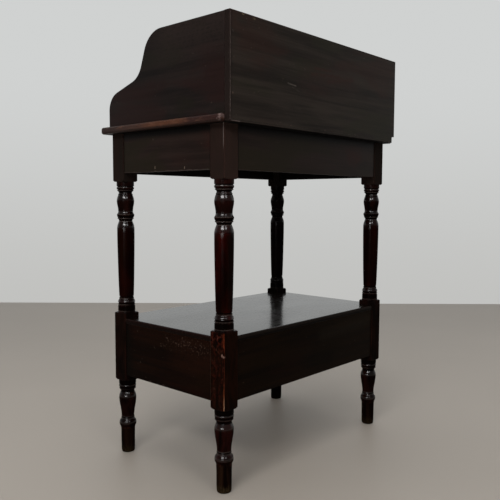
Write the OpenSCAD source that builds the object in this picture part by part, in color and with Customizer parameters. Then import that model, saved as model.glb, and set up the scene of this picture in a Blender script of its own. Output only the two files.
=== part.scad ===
// Two-tier washstand: a galleried top on four turned legs, with a drawer in the lower tier.
// Millimetres, +Z up. The origin is on the floor, at the centre of the plan.
// +Y is the rear, where the high back panel stands, and +X is the right side seen from the front.

/* [Overall] */
// Width over the legs
stand_w = 622; // [500:1:900]
// Depth over the legs
stand_d = 378; // [330:1:550]
// Height of the washing surface above the floor
top_h = 799; // [740:1:900]

/* [Top] */
// Thickness of the top board
board_t = 16; // [12:0.5:22]
// How far the board passes the legs at each side, without its nosing
side_overhang = 11; // [4:0.5:30]
// How far the board passes the front legs, without its nosing
front_overhang = 9; // [4:0.5:30]
// How far the board passes the rear legs
rear_overhang = 11; // [4:0.5:30]
// Width of the rounded nosing that is glued round the board
nosing_w = 11; // [11:0.5:20]
// Radius of the nosing's rounded edges
nosing_r = 5; // [2:0.5:5]

/* [Gallery] */
// Height of the gallery above the board
gallery_h = 201; // [185:1:260]
// Thickness of the gallery's side boards
gallery_t = 15; // [12:0.5:20]
// Thickness of the back panel
panel_t = 16; // [12:0.5:20]
// How far the gallery's toe stands back from the board's front edge
toe_setback = 13; // [4:0.5:25]
// Length of the level top edge of a gallery side
level_run = 195; // [170:1:210]
// Radius of the gallery's upper shoulder
shoulder_r = 60; // [50:1:65]
// Length of the steep straight below the shoulder
steep_run = 36; // [26:1:42]
// Angle of the steep straight above the horizontal
steep_angle = 70; // [66:1:75]
// Radius of the hollow sweep between shoulder and toe
hollow_r = 50; // [40:1:55]
// Angle of the long easy straight above the toe
easy_angle = 17; // [12:1:22]
// Radius of the toe
toe_r = 42; // [34:1:46]
// Width of the notch in the back panel's lower left corner
notch_w = 12; // [8:0.5:20]
// Radius of the back panel's lower right corner
panel_corner_r = 5; // [2:0.5:10]

/* [Legs] */
// Side of the square blocks of a leg
leg_sq = 42; // [42:0.5:52]
// Height of the square block under the top
upper_block_h = 111; // [105:1:130]
// Height of the floor side of the lower square block
foot_h = 187; // [175:1:240]
// Height of the lower square block
lower_block_h = 162; // [152:1:180]
// Height over which the corners of a block are turned away
block_round_h = 4; // [2:0.5:8]
// How far the corners of a block are turned away at its end
block_round_w = 4.5; // [2:0.5:8]

/* [Turning] */
// Radius of the collar under the upper block
collar_r = 20.1; // [19:0.1:20.5]
// Height of that collar
collar_h = 13; // [9:0.5:18]
// Height of the bead under the collar
bead_h = 7; // [5:0.5:10]
// Radius of the narrow necks
neck_r = 15.2; // [13:0.1:16]
// Height from the bead to the first neck
neck_h = 8; // [6:0.5:12]
// Fullest radius of the vase
vase_r = 20.3; // [18:0.1:20.8]
// Height from the first neck to the fullest part of the vase
vase_top_h = 20; // [14:0.5:26]
// Radius of the vase's own neck
vase_neck_r = 17.1; // [14:0.1:17.8]
// Height from the fullest part of the vase to its neck
vase_low_h = 24; // [18:0.5:30]
// Radius of the sharp ring below the vase
ring_r = 20.6; // [18.5:0.1:20.9]
// Height of the ring's upper slope
ring_top_h = 9.5; // [6:0.5:12]
// Height of the ring's lower slope
ring_low_h = 13.5; // [9:0.5:18]
// Fullest radius of the long shaft
shaft_r = 20.4; // [18:0.1:20.9]
// Height over which the shaft swells from its neck
shaft_top_h = 25; // [16:0.5:34]
// Radius at the foot of the shaft
shaft_low_r = 16.4; // [14:0.1:17.5]
// Extra fullness halfway down the shaft
shaft_swell = 0.5; // [0:0.1:1]
// Radius of the base collar on the lower block
base_r = 20.7; // [19:0.1:20.9]
// Height of the base collar
base_collar_h = 15; // [10:0.5:20]
// Height of the small fillet between the two base grooves
base_fillet_h = 5; // [3:0.5:8]
// Height of the flare from the base up to the shaft
base_flare_h = 13; // [9:0.5:18]
// Depth of the turned grooves
groove_d = 1.3; // [0.6:0.1:2]
// Width of the turned grooves
groove_w = 2; // [1:0.1:3]

/* [Feet] */
// Radius of the collar under the lower block
foot_collar_r = 19.8; // [18:0.1:20.5]
// Height of that collar
foot_collar_h = 24; // [18:0.5:30]
// Height from the collar to the foot's neck
foot_neck_h = 8.5; // [6:0.5:12]
// Fullest radius of the foot
foot_r = 20.5; // [18.5:0.1:20.9]
// Height from the neck to the fullest part of the foot
foot_swell_h = 14; // [10:0.5:18]
// Radius of the foot's waist
waist_r = 14.7; // [13:0.1:16]
// Height from the fullest part of the foot to its waist
waist_h = 49.5; // [40:0.5:56]
// Radius of the ring above the toe
foot_ring_r = 20.1; // [18:0.1:20.8]
// Height from the waist to that ring
foot_ring_top_h = 14.5; // [10:0.5:18]
// Height from the ring to the toe
foot_ring_low_h = 19; // [14:0.5:24]
// Radius of the toe below the ring
toe_top_r = 16; // [15:0.1:17]
// Radius just above the worn edge on the floor
toe_low_r = 15; // [13.5:0.1:15]
// Size of the worn edge on the floor
toe_wear = 2; // [1:0.5:4]

/* [Rails] */
// Height of the four upper friezes
frieze_h = 93; // [80:1:100]
// Thickness of friezes and aprons
rail_t = 20; // [18:0.5:22]
// How far friezes and aprons stand back from the legs' faces
rail_setback = 2; // [0.5:0.5:4]
// Thickness of the tenons
tenon_t = 9; // [6:0.5:10]
// Distance from a leg's face to the tenon in it
tenon_in = 8; // [6:0.5:9]
// Length of the tenons
tenon_l = 22; // [16:0.5:22]
// Shoulder above and below the tenons
tenon_shoulder = 11; // [6:0.5:16]
// Thickness of the flat tenons of the drawer rails
flat_tenon_t = 9; // [6:0.5:12]
// Room round a tenon in its mortise
tenon_fit = 0.2; // [0.1:0.05:0.4]
// Room past the end of a tenon, screw or dowel
end_room = 1; // [0.5:0.1:1.5]

/* [Lower tier] */
// Height of the shelf's upper surface above the floor
shelf_z = 339; // [330:0.5:345]
// Thickness of the shelf board
shelf_t = 12; // [10:0.5:16]
// How far the shelf's edge stands back from the legs' faces
shelf_setback = 1; // [0.5:0.5:3]
// Room between the shelf and a leg in its corner notch
shelf_fit = 0.3; // [0.1:0.05:0.5]
// Height of the underside of the aprons above the floor
apron_z = 199; // [195:0.5:206]
// Thickness of the two rails over and under the drawer, and of runners and kickers
drawer_rail_t = 18; // [15:0.5:20]
// Width of runners and kickers
runner_w = 36; // [32:0.5:44]
// Height of the drawer guides
guide_h = 20; // [12:0.5:30]

/* [Drawer] */
// Room at each side of the drawer
drawer_side_gap = 1; // [0.5:0.1:2]
// Room between the drawer and its runners
drawer_low_gap = 0.4; // [0.3:0.1:0.8]
// Room above the drawer
drawer_top_gap = 1.6; // [1:0.1:4]
// Thickness of the drawer front
drawer_front_t = 18; // [16:0.5:20]
// Thickness of the drawer's sides and back
drawer_side_t = 10; // [8:0.5:12]
// Room between the drawer and the back apron
drawer_back_room = 26; // [2:1:60]
// Thickness of the drawer bottom
drawer_bottom_t = 6; // [5:0.5:8]
// Height of the drawer bottom above the lower edge of the sides
drawer_bottom_up = 8; // [7:0.5:12]
// How deep the drawer bottom enters its grooves
bottom_groove_d = 5; // [3:0.5:6]
// Wood left in front of the dovetails in the drawer front
dovetail_lap = 4; // [3:0.5:6]
// Number of dovetails at each corner of the drawer
dovetails = 3; // [2:1:4]
// Width of a dovetail pin at its narrow side
pin_w = 5; // [3:0.5:7]
// Slope of the dovetails, as sideways run over length
dovetail_slope = 0.16; // [0.1:0.01:0.2]
// Room in grooves and dovetails
joint_fit = 0.1; // [0.05:0.05:0.2]
// How much lower the drawer back is than the sides
drawer_back_drop = 5; // [2:0.5:10]
// Distance between the two drawer stops
stop_spacing = 240; // [160:1:300]
// Length of a drawer stop
stop_l = 40; // [20:1:60]
// Depth of a drawer stop
stop_w = 14; // [8:0.5:18]
// Height of a drawer stop
stop_h = 5; // [3:0.5:6]
// Room between the drawer front and its stops
stop_gap = 0.3; // [0.2:0.1:0.6]

/* [Knobs] */
// Distance between the two knobs
knob_spacing = 300; // [220:1:380]
// Radius of a knob's head
knob_r = 17; // [13:0.5:20]
// How far a knob stands out of the drawer front
knob_out = 22; // [20:0.5:30]
// Radius of a knob's foot on the drawer front
knob_foot_r = 11; // [10:0.5:13]
// Radius of a knob's neck
knob_neck_r = 7.5; // [6.5:0.5:9]
// Height of a knob's foot
knob_foot_h = 2.4; // [1:0.1:4]
// Height of the neck's narrowest place above the drawer front
knob_neck_h = 6.6; // [5:0.1:8]
// Height of the knob's widest place above the drawer front
knob_full_h = 13.6; // [11:0.1:16]
// Radius of the spigot that is glued into the drawer front
spigot_r = 6; // [4:0.5:6]
// Length of that spigot
spigot_l = 16; // [10:0.5:16]

/* [Fixings] */
// Side of the glue blocks under the top
block_sq = 24; // [20:0.5:30]
// Length of the glue blocks
block_l = 60; // [40:1:80]
// Side of the glue blocks under the shelf
shelf_block_sq = 18; // [14:0.5:20]
// Distance between the pairs of glue blocks
block_spacing = 300; // [200:1:400]
// Radius of a screw's shank
screw_r = 2; // [1.5:0.1:2.5]
// Radius of a screw's head
screw_head_r = 4; // [3.5:0.1:5]
// Height of a screw's head
screw_head_h = 2.5; // [2:0.1:3]
// How deep the screw heads lie in their holes
screw_sink = 2; // [1:0.5:3]
// How far the screws enter the far piece
screw_bite = 10; // [8:0.5:10]
// Room round screws and dowels in their holes
hole_fit = 0.15; // [0.1:0.05:0.3]
// Width of the slot in a screw's head
slot_w = 1.2; // [0.8:0.1:1.6]
// Depth of that slot
slot_d = 1; // [0.5:0.1:1.5]
// Distance between the screws of a runner
runner_screw_spacing = 88; // [60:1:110]
// Distance of the last dowel from the board's rear edge
dowel_end = 45; // [40:1:60]
// Distance of the first dowel from the gallery's toe
dowel_toe = 42; // [30:1:60]
// Radius of the dowels under the gallery sides
dowel_r = 4; // [3:0.25:4.5]
// How far the dowels enter the board
dowel_low = 10; // [8:0.5:10]
// How far the dowels enter the gallery sides
dowel_up = 20; // [15:1:30]
// Distance between the nails that go into the board
board_nail_spacing = 129; // [80:1:140]
// Height of the lowest side nail above the board
side_nail_low = 40; // [25:1:60]
// Distance between the side nails
side_nail_spacing = 60; // [30:1:60]
// Length of the back panel's nails
nail_l = 45; // [35:1:60]
// Radius of those nails
nail_r = 1; // [0.8:0.1:1.4]
// Radius of the nails' heads
nail_head_r = 2.2; // [1.8:0.1:3]
// Height of the nails' heads
nail_head_h = 1; // [0.6:0.1:1.5]

/* [Hidden] */

round_fn = 64;
screw_fn = 24;
join = 4;          // how far one form of a piece reaches into the next, so that they are one solid
past = 1;          // how far a cutter passes the surface that it cuts

// Outer faces of the legs, set so that the whole plan is centred on the origin
front_reach = max(front_overhang + nosing_w, knob_out - rail_setback);
rear_reach = rear_overhang + panel_t;
side_x = stand_w / 2;
rear_y = stand_d / 2 - (rear_reach - front_reach) / 2;
front_y = rear_y - stand_d;
mid_y = (rear_y + front_y) / 2;

// Inner faces of the legs
in_x = side_x - leg_sq;
in_rear_y = rear_y - leg_sq;
in_front_y = front_y + leg_sq;
rail_in_x = side_x - rail_setback - rail_t;
rail_in_rear_y = rear_y - rail_setback - rail_t;
rail_in_front_y = front_y + rail_setback + rail_t;

// Heights
board_z = top_h - board_t;
upper_block_z = board_z - upper_block_h;
lower_block_top = foot_h + lower_block_h;
frieze_z = board_z - frieze_h;
shelf_low = shelf_z - shelf_t;
apron_h = shelf_low - apron_z;
top_rail_z = shelf_low - drawer_rail_t;
runner_top = apron_z + drawer_rail_t;

// Board and gallery
board_x = side_x + side_overhang;
board_front = front_y - front_overhang;
board_rear = rear_y + rear_overhang;
toe_y = board_front + toe_setback;
gallery_top = top_h + gallery_h;
gallery_x = board_x - gallery_t / 2;

// Drawer
face_y = front_y + rail_setback;
drawer_x = in_x - drawer_side_gap;
drawer_z = runner_top + drawer_low_gap;
drawer_h = top_rail_z - drawer_top_gap - drawer_z;
drawer_rear = rail_in_rear_y - drawer_back_room;
side_front = face_y + drawer_front_t;
bottom_z = drawer_z + drawer_bottom_up;
back_z = bottom_z + drawer_bottom_t + joint_fit;
back_h = drawer_h - (back_z - drawer_z) - drawer_back_drop;

// Colours of the woods and the iron
show_dark = "#2a1a15";
turned_dark = "#331a14";
nosing_brown = "#5d3a2c";
inner_wood = "#8a6444";
steel = "#6f6a63";

// A box from its lowest corner to its highest
module block(low, high) {
    translate(low) cube(high - low);
}

// Points between two places of a turned outline, both as [radius, height]
function steps(n) = [for (i = [1:n]) i / n];
function along(a, b, t) = a + (b - a) * t;
// Level at both ends, like the side of a vase
function ogee(a, b, n = 10) =
    [for (t = steps(n)) [along(a[0], b[0], (1 - cos(180 * t)) / 2), along(a[1], b[1], t)]];
// Quick at first and level at the end, like a bulb that rises out of a neck
function swell(a, b, n = 8) =
    [for (t = steps(n)) [along(a[0], b[0], sin(90 * t)), along(a[1], b[1], t)]];
// A cut of groove_d into a surface of radius r
function groove(r, z) = [[r, z + groove_w / 2], [r - groove_d, z], [r, z - groove_w / 2]];
// Points along an arc, both ends included
function arc(c, r, from, to, n = 10) =
    [for (i = [0:n]) let (a = from + (to - from) * i / n) c + r * [cos(a), sin(a)]];

// The turning between the two square blocks, from the top down
bead_z = upper_block_z - collar_h;
neck_z = bead_z - bead_h - neck_h;
vase_z = neck_z - vase_top_h;
vase_neck_z = vase_z - vase_low_h;
ring_z = vase_neck_z - ring_top_h;
shaft_neck_z = ring_z - ring_low_h;
shaft_z = shaft_neck_z - shaft_top_h;
base_groove_z = lower_block_top + base_collar_h;
flare_z = base_groove_z + base_fillet_h + groove_w;
shaft_low_z = flare_z + base_flare_h;

leg_outline = concat(
    [[0, upper_block_z + join], [collar_r, upper_block_z + join]],
    groove(collar_r, bead_z),
    ogee([collar_r, bead_z - groove_w / 2], [collar_r, bead_z - bead_h], 2),
    ogee([collar_r - groove_d, bead_z - bead_h], [neck_r, neck_z], 6),
    swell([neck_r, neck_z], [vase_r, vase_z]),
    ogee([vase_r, vase_z], [vase_neck_r, vase_neck_z]),
    ogee([vase_neck_r, vase_neck_z], [ring_r, ring_z], 7),
    ogee([ring_r, ring_z - groove_w / 2], [neck_r, shaft_neck_z], 6),
    swell([neck_r, shaft_neck_z], [shaft_r, shaft_z]),
    [for (t = steps(10)) [along(shaft_r, shaft_low_r, t) + shaft_swell * sin(180 * t),
                          along(shaft_z, shaft_low_z, t)]],
    swell([shaft_low_r, shaft_low_z], [base_r, flare_z + groove_w], 6),
    groove(base_r - groove_d / 2, flare_z),
    groove(base_r, base_groove_z),
    [[base_r, lower_block_top - join], [0, lower_block_top - join]]);

// The foot, from the lower block down to the floor
foot_edge_z = foot_h - foot_collar_h;
foot_neck_z = foot_edge_z - foot_neck_h;
foot_full_z = foot_neck_z - foot_swell_h;
waist_z = foot_full_z - waist_h;
foot_ring_z = waist_z - foot_ring_top_h;
toe_z = foot_ring_z - foot_ring_low_h;

foot_outline = concat(
    [[0, foot_h + join], [foot_collar_r, foot_h + join], [foot_collar_r, foot_edge_z]],
    ogee([foot_collar_r - groove_d / 2, foot_edge_z], [neck_r, foot_neck_z], 6),
    swell([neck_r, foot_neck_z], [foot_r, foot_full_z]),
    ogee([foot_r, foot_full_z], [waist_r, waist_z]),
    ogee([waist_r, waist_z], [foot_ring_r, foot_ring_z], 7),
    ogee([foot_ring_r, foot_ring_z], [toe_top_r, toe_z], 8),
    [[toe_low_r, toe_wear], [toe_low_r - toe_wear, 0], [0, 0]]);

// A square block whose corners are turned away at its lower end, and at its upper end if asked
module leg_block(low, high, round_top) {
    corner_r = leg_sq / sqrt(2) + past;
    end_r = corner_r - past - block_round_w;
    intersection() {
        block([-leg_sq / 2, -leg_sq / 2, low], [leg_sq / 2, leg_sq / 2, high]);
        rotate_extrude($fn = round_fn)
            polygon(concat([[0, low], [end_r, low], [corner_r, low + block_round_h]],
                round_top ? [[corner_r, high - block_round_h], [end_r, high]] : [[corner_r, high]],
                [[0, high]]));
    }
}

// The mortise for a tenon that enters the leg along X, in the leg's own place
module mortise(low, high) {
    tenon_y = leg_sq / 2 - tenon_in;
    block([-leg_sq / 2 - past, tenon_y - tenon_t - tenon_fit, low - tenon_fit],
          [-leg_sq / 2 + tenon_l + end_room, tenon_y + tenon_fit, high + tenon_fit]);
}

// The mortise of a drawer rail, whose tenon lies flat
module flat_mortise(rail_z) {
    low = rail_z + (drawer_rail_t - flat_tenon_t) / 2;
    block([-leg_sq / 2 - past, -leg_sq / 2 + tenon_in - tenon_fit, low - tenon_fit],
          [-leg_sq / 2 + tenon_l + end_room, leg_sq / 2 - tenon_in + tenon_fit,
           low + flat_tenon_t + tenon_fit]);
}

// A leg on its own axis, with its outer faces towards +X and +Y
module leg(front) {
    color(turned_dark)
    difference() {
        union() {
            leg_block(upper_block_z, board_z, false);
            rotate_extrude($fn = round_fn) polygon(leg_outline);
            leg_block(foot_h, lower_block_top, true);
            rotate_extrude($fn = round_fn) polygon(foot_outline);
        }
        mortise(frieze_z + tenon_shoulder, board_z - tenon_shoulder);
        mirror([1, -1, 0]) mortise(frieze_z + tenon_shoulder, board_z - tenon_shoulder);
        mirror([1, -1, 0]) mortise(apron_z + tenon_shoulder, shelf_low - tenon_shoulder);
        if (front) {
            flat_mortise(top_rail_z);
            flat_mortise(apron_z);
        } else {
            mortise(apron_z + tenon_shoulder, shelf_low - tenon_shoulder);
        }
    }
}

module at_leg(x_side, y_side) {
    leg_y = y_side > 0 ? rear_y - leg_sq / 2 : front_y + leg_sq / 2;
    translate([x_side * (side_x - leg_sq / 2), leg_y, 0])
        mirror([x_side < 0 ? 1 : 0, 0, 0])
        mirror([0, y_side < 0 ? 1 : 0, 0])
        children();
}

module leg_rear_right() {
    at_leg(1, 1) leg(false);
}

module leg_rear_left() {
    at_leg(-1, 1) leg(false);
}

module leg_front_right() {
    at_leg(1, -1) leg(true);
}

module leg_front_left() {
    at_leg(-1, -1) leg(true);
}

// A frieze or apron between two legs, its outer face on y = 0 and facing +Y
module rail(l, h) {
    tenon_y = rail_setback - tenon_in;
    color(show_dark)
    union() {
        block([-l / 2, -rail_t, 0], [l / 2, 0, h]);
        block([-l / 2 - tenon_l, tenon_y - tenon_t, tenon_shoulder],
              [l / 2 + tenon_l, tenon_y, h - tenon_shoulder]);
    }
}

module at_rear(z) {
    translate([0, rear_y - rail_setback, z]) children();
}

module at_side(x_side, z) {
    translate([x_side * (side_x - rail_setback), mid_y, z]) rotate([0, 0, -90 * x_side]) children();
}

module frieze_front() {
    translate([0, face_y, frieze_z]) rotate([0, 0, 180]) rail(2 * in_x, frieze_h);
}

module frieze_back() {
    at_rear(frieze_z) rail(2 * in_x, frieze_h);
}

module frieze_right() {
    at_side(1, frieze_z) rail(stand_d - 2 * leg_sq, frieze_h);
}

module frieze_left() {
    at_side(-1, frieze_z) rail(stand_d - 2 * leg_sq, frieze_h);
}

module apron_back() {
    at_rear(apron_z) rail(2 * in_x, apron_h);
}

// A side apron, with the blind holes of the runner's screws in its inner face
module side_apron(x_side) {
    difference() {
        at_side(x_side, apron_z) rail(stand_d - 2 * leg_sq, apron_h);
        runner_screw_holes(x_side);
    }
}

module apron_right() {
    side_apron(1);
}

module apron_left() {
    side_apron(-1);
}

// A rail over or under the drawer, flush with the drawer front, with a flat tenon at each end
module drawer_rail(z) {
    tenon_z = z + (drawer_rail_t - flat_tenon_t) / 2;
    color(show_dark)
    union() {
        block([-in_x, face_y, z], [in_x, in_front_y, z + drawer_rail_t]);
        block([-in_x - tenon_l, front_y + tenon_in, tenon_z],
              [in_x + tenon_l, in_front_y - tenon_in, tenon_z + flat_tenon_t]);
    }
}

module drawer_rail_top() {
    drawer_rail(top_rail_z);
}

module drawer_rail_bottom() {
    drawer_rail(apron_z);
}

// The square of a leg seen from above, grown by the room that a notch leaves round it
module leg_column(x_side, y_side, room, low, high) {
    at_leg(x_side, y_side)
        block([-leg_sq / 2 - room, -leg_sq / 2 - room, low], [leg_sq, leg_sq, high]);
}

// The shelf lies on the aprons, is notched round the legs and has its edges rubbed round
module shelf() {
    x = side_x - shelf_setback;
    low_y = front_y + shelf_setback;
    high_y = rear_y - shelf_setback;
    edge_r = shelf_t / 3;
    color(show_dark)
    difference() {
        union() {
            block([-x, low_y, shelf_low], [x, high_y, shelf_z - edge_r]);
            block([-x + edge_r, low_y + edge_r, shelf_low], [x - edge_r, high_y - edge_r, shelf_z]);
            for (y = [low_y + edge_r, high_y - edge_r])
                translate([-x + edge_r, y, shelf_z - edge_r])
                    rotate([0, 90, 0]) cylinder(h = 2 * (x - edge_r), r = edge_r, $fn = screw_fn);
            for (side = [-1, 1])
                translate([side * (x - edge_r), high_y - edge_r, shelf_z - edge_r])
                    rotate([90, 0, 0])
                    cylinder(h = high_y - low_y - 2 * edge_r, r = edge_r, $fn = screw_fn);
        }
        for (sx = [-1, 1], sy = [-1, 1])
            leg_column(sx, sy, shelf_fit, shelf_low - past, shelf_z + past);
    }
}

// Places of the glue blocks under the top: each as [x, y, turn]
top_block_places = concat(
    [for (x = [-block_spacing / 2, block_spacing / 2]) [x, rail_in_rear_y - block_sq / 2, 0]],
    [for (x = [-block_spacing / 2, block_spacing / 2]) [x, rail_in_front_y + block_sq / 2, 0]],
    [for (side = [-1, 1]) [side * (rail_in_x - block_sq / 2), mid_y, 90]]);

// The screw through a glue block into the board: its shank, and the room for its head
top_head_z = board_z - block_sq + screw_sink;

module top_screw_hole(room, bite) {
    translate([0, 0, top_head_z])
        cylinder(h = board_z - top_head_z + bite, r = screw_r + room, $fn = screw_fn);
}

module top_blocks() {
    color(inner_wood)
    for (p = top_block_places)
        translate([p[0], p[1], 0]) difference() {
            rotate([0, 0, p[2]])
                block([-block_l / 2, -block_sq / 2, board_z - block_sq],
                      [block_l / 2, block_sq / 2, board_z]);
            top_screw_hole(hole_fit, past);
            translate([0, 0, board_z - block_sq - past])
                cylinder(h = past + screw_sink + screw_head_h, r = screw_head_r + hole_fit, $fn = screw_fn);
        }
}

module top_screws() {
    color(steel)
    for (p = top_block_places)
        translate([p[0], p[1], 0]) difference() {
            union() {
                top_screw_hole(0, screw_bite);
                translate([0, 0, top_head_z])
                    cylinder(h = screw_head_h, r = screw_head_r, $fn = screw_fn);
            }
            block([-screw_head_r - past, -slot_w / 2, top_head_z - past],
                  [screw_head_r + past, slot_w / 2, top_head_z + slot_d]);
        }
}

// Places of the dowels and nails of the gallery
dowel_ys = [for (i = [0:2]) along(toe_y + dowel_toe, board_rear - dowel_end, i / 2)];
side_nail_zs = [for (i = [0:2]) top_h + side_nail_low + side_nail_spacing * i];
board_nail_xs = [for (i = [-2:2]) i * board_nail_spacing];

module dowel(room, low, up) {
    translate([0, 0, top_h - low]) cylinder(h = low + up, r = dowel_r + room, $fn = screw_fn);
}

module dowel_holes() {
    for (side = [-1, 1], y = dowel_ys)
        translate([side * gallery_x, y, 0]) dowel(hole_fit, dowel_low + end_room, dowel_up + end_room);
}

module gallery_dowels() {
    color(inner_wood)
    for (side = [-1, 1], y = dowel_ys)
        translate([side * gallery_x, y, 0]) dowel(0, dowel_low, dowel_up);
}

// One nail, its head flush with the back panel's outer face and its point towards the front
module nail(room, extra) {
    translate([0, board_rear + panel_t, 0]) rotate([90, 0, 0]) {
        cylinder(h = nail_l + extra, r = nail_r + room, $fn = screw_fn);
        translate([0, 0, -extra]) cylinder(h = nail_head_h + extra, r = nail_head_r + room, $fn = screw_fn);
    }
}

module nails(room, extra) {
    for (x = board_nail_xs)
        translate([x, 0, board_z + board_t / 2]) nail(room, extra);
    for (side = [-1, 1], z = side_nail_zs)
        translate([side * gallery_x, 0, z]) nail(room, extra);
}

module panel_nails() {
    color(steel) nails(0, 0);
}

// The board carries basin and jug. It is one plain board; only its nosing is rounded.
module top_board() {
    color(show_dark)
    difference() {
        block([-board_x, board_front, board_z], [board_x, board_rear, top_h]);
        dowel_holes();
        nails(hole_fit, end_room);
        for (p = top_block_places)
            translate([p[0], p[1], 0]) top_screw_hole(hole_fit, screw_bite + end_room);
    }
}

// Cross-section of the nosing: flat against the board on x = 0, its outer edges rounded
module nosing_section() {
    square([nosing_w - nosing_r, board_t]);
    translate([0, nosing_r]) square([nosing_w, board_t - 2 * nosing_r]);
    for (z = [nosing_r, board_t - nosing_r])
        translate([nosing_w - nosing_r, z]) circle(r = nosing_r, $fn = round_fn);
}

// Half of a rounded front corner of the nosing, from the end of a straight length to the mitre
module nosing_corner(turn) {
    rotate([0, 0, turn]) rotate_extrude(angle = 45, $fn = round_fn) nosing_section();
}

// The left nosing, turned over for the right side
module nosing_side(x_side) {
    color(nosing_brown)
    mirror([x_side > 0 ? 1 : 0, 0, 0])
        translate([-board_x, board_front, board_z])
        union() {
            translate([0, board_rear - board_front, 0])
                mirror([1, 0, 0]) rotate([90, 0, 0])
                linear_extrude(height = board_rear - board_front) nosing_section();
            nosing_corner(180);
        }
}

module nosing_right() {
    nosing_side(1);
}

module nosing_left() {
    nosing_side(-1);
}

module nosing_front() {
    color(nosing_brown)
    union() {
        translate([-board_x, board_front, board_z])
            rotate([0, 0, -90]) rotate([90, 0, 0]) mirror([0, 0, 1])
            linear_extrude(height = 2 * board_x) nosing_section();
        for (turned = [0, 1])
            mirror([turned, 0, 0]) translate([board_x, board_front, board_z]) nosing_corner(-90);
    }
}

// Outline of a gallery side in the plane of y and z: a level top, a round shoulder, a steep
// straight, a hollow sweep, an easy straight and a round toe, each tangent to the next
shoulder_c = [board_rear - level_run, gallery_top - shoulder_r];
steep = [cos(steep_angle), sin(steep_angle)];
easy = [cos(easy_angle), sin(easy_angle)];
shoulder_end = shoulder_c + shoulder_r * [-steep[1], steep[0]];
hollow_start = shoulder_end - steep_run * steep;
hollow_c = hollow_start + hollow_r * [-steep[1], steep[0]];
hollow_end = hollow_c + hollow_r * [easy[1], -easy[0]];
easy_run = (hollow_end[0] - toe_y - toe_r * (1 - easy[1])) / easy[0];
toe_c = hollow_end - easy_run * easy + toe_r * [easy[1], -easy[0]];

gallery_outline = concat(
    [[board_rear, top_h], [board_rear, gallery_top]],
    arc(shoulder_c, shoulder_r, 90, 90 + steep_angle, 14),
    arc(hollow_c, hollow_r, steep_angle - 90, easy_angle - 90, 10),
    arc(toe_c, toe_r, 90 + easy_angle, 180, 12),
    [[toe_y, top_h]]);

module gallery_side(x_side) {
    color(show_dark)
    difference() {
        translate([x_side * gallery_x - gallery_t / 2, 0, 0])
            rotate([90, 0, 90]) linear_extrude(height = gallery_t) polygon(gallery_outline);
        dowel_holes();
        nails(hole_fit, end_room);
    }
}

module gallery_right() {
    gallery_side(1);
}

module gallery_left() {
    gallery_side(-1);
}

// The back panel covers the rear edge of the board and the ends of the gallery sides. Its lower
// left corner is notched as deep as the board, and its lower right corner is worn round.
module gallery_back() {
    color(show_dark)
    difference() {
        translate([0, board_rear + panel_t, 0]) rotate([90, 0, 0])
            linear_extrude(height = panel_t) difference() {
                union() {
                    translate([-board_x, board_z])
                        square([2 * board_x - panel_corner_r, board_t + gallery_h]);
                    translate([-board_x, board_z + panel_corner_r])
                        square([2 * board_x, board_t + gallery_h - panel_corner_r]);
                    translate([board_x - panel_corner_r, board_z + panel_corner_r])
                        circle(r = panel_corner_r, $fn = screw_fn);
                }
                translate([-board_x - past, board_z - past])
                    square([notch_w + past, board_t + past]);
            }
        nails(hole_fit, end_room);
    }
}

// A strip inside the lower tier at one side, from the front rail to the back apron, notched
// round the rear leg
module side_strip(x_side, z) {
    color(inner_wood)
    difference() {
        block([x_side > 0 ? rail_in_x - runner_w : -rail_in_x, in_front_y, z],
              [x_side > 0 ? rail_in_x : runner_w - rail_in_x, rail_in_rear_y, z + drawer_rail_t]);
        leg_column(x_side, 1, 0, z - past, z + drawer_rail_t + past);
    }
}

// Screws through a runner into the side apron
runner_screw_ys = [for (i = [-1:1]) mid_y + i * runner_screw_spacing];

module runner_screw(x_side, y, room, bite) {
    translate([x_side * (rail_in_x - runner_w + screw_sink), y, apron_z + drawer_rail_t / 2])
        rotate([0, 90 * x_side, 0])
        cylinder(h = runner_w - screw_sink + bite, r = screw_r + room, $fn = screw_fn);
}

module runner_screw_holes(x_side) {
    for (y = runner_screw_ys)
        runner_screw(x_side, y, hole_fit, screw_bite + end_room);
}

module runner_screw_head(x_side, y, room, out) {
    translate([x_side * (rail_in_x - runner_w + screw_sink - out), y, apron_z + drawer_rail_t / 2])
        rotate([0, 90 * x_side, 0])
        cylinder(h = screw_head_h + out, r = screw_head_r + room, $fn = screw_fn);
}

module runner(x_side) {
    difference() {
        side_strip(x_side, apron_z);
        runner_screw_holes(x_side);
        for (y = runner_screw_ys)
            runner_screw_head(x_side, y, hole_fit, screw_sink + past);
    }
}

module runner_right() {
    runner(1);
}

module runner_left() {
    runner(-1);
}

module runner_screws() {
    color(steel)
    for (side = [-1, 1], y = runner_screw_ys)
        union() {
            runner_screw(side, y, 0, screw_bite);
            runner_screw_head(side, y, 0, 0);
        }
}

module kicker_right() {
    side_strip(1, top_rail_z);
}

module kicker_left() {
    side_strip(-1, top_rail_z);
}

// A guide on each runner, flush with the legs, keeps the drawer straight
module guide(x_side) {
    color(inner_wood)
    block([x_side > 0 ? in_x : -rail_in_x, in_front_y, runner_top],
          [x_side > 0 ? rail_in_x : -in_x, in_rear_y, runner_top + guide_h]);
}

module guide_right() {
    guide(1);
}

module guide_left() {
    guide(-1);
}

// Two small blocks on the lower rail stop the drawer front flush with the rails
module drawer_stops() {
    color(inner_wood)
    for (side = [-1, 1])
        block([side * stop_spacing / 2 - stop_l / 2, side_front + stop_gap, runner_top],
              [side * stop_spacing / 2 + stop_l / 2, side_front + stop_gap + stop_w, runner_top + stop_h]);
}

module shelf_blocks() {
    color(inner_wood)
    for (side = [-1, 1])
        translate([side * block_spacing / 2, rail_in_rear_y, shelf_low])
            block([-block_l / 2, -shelf_block_sq, -shelf_block_sq], [block_l / 2, 0, 0]);
}

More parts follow.
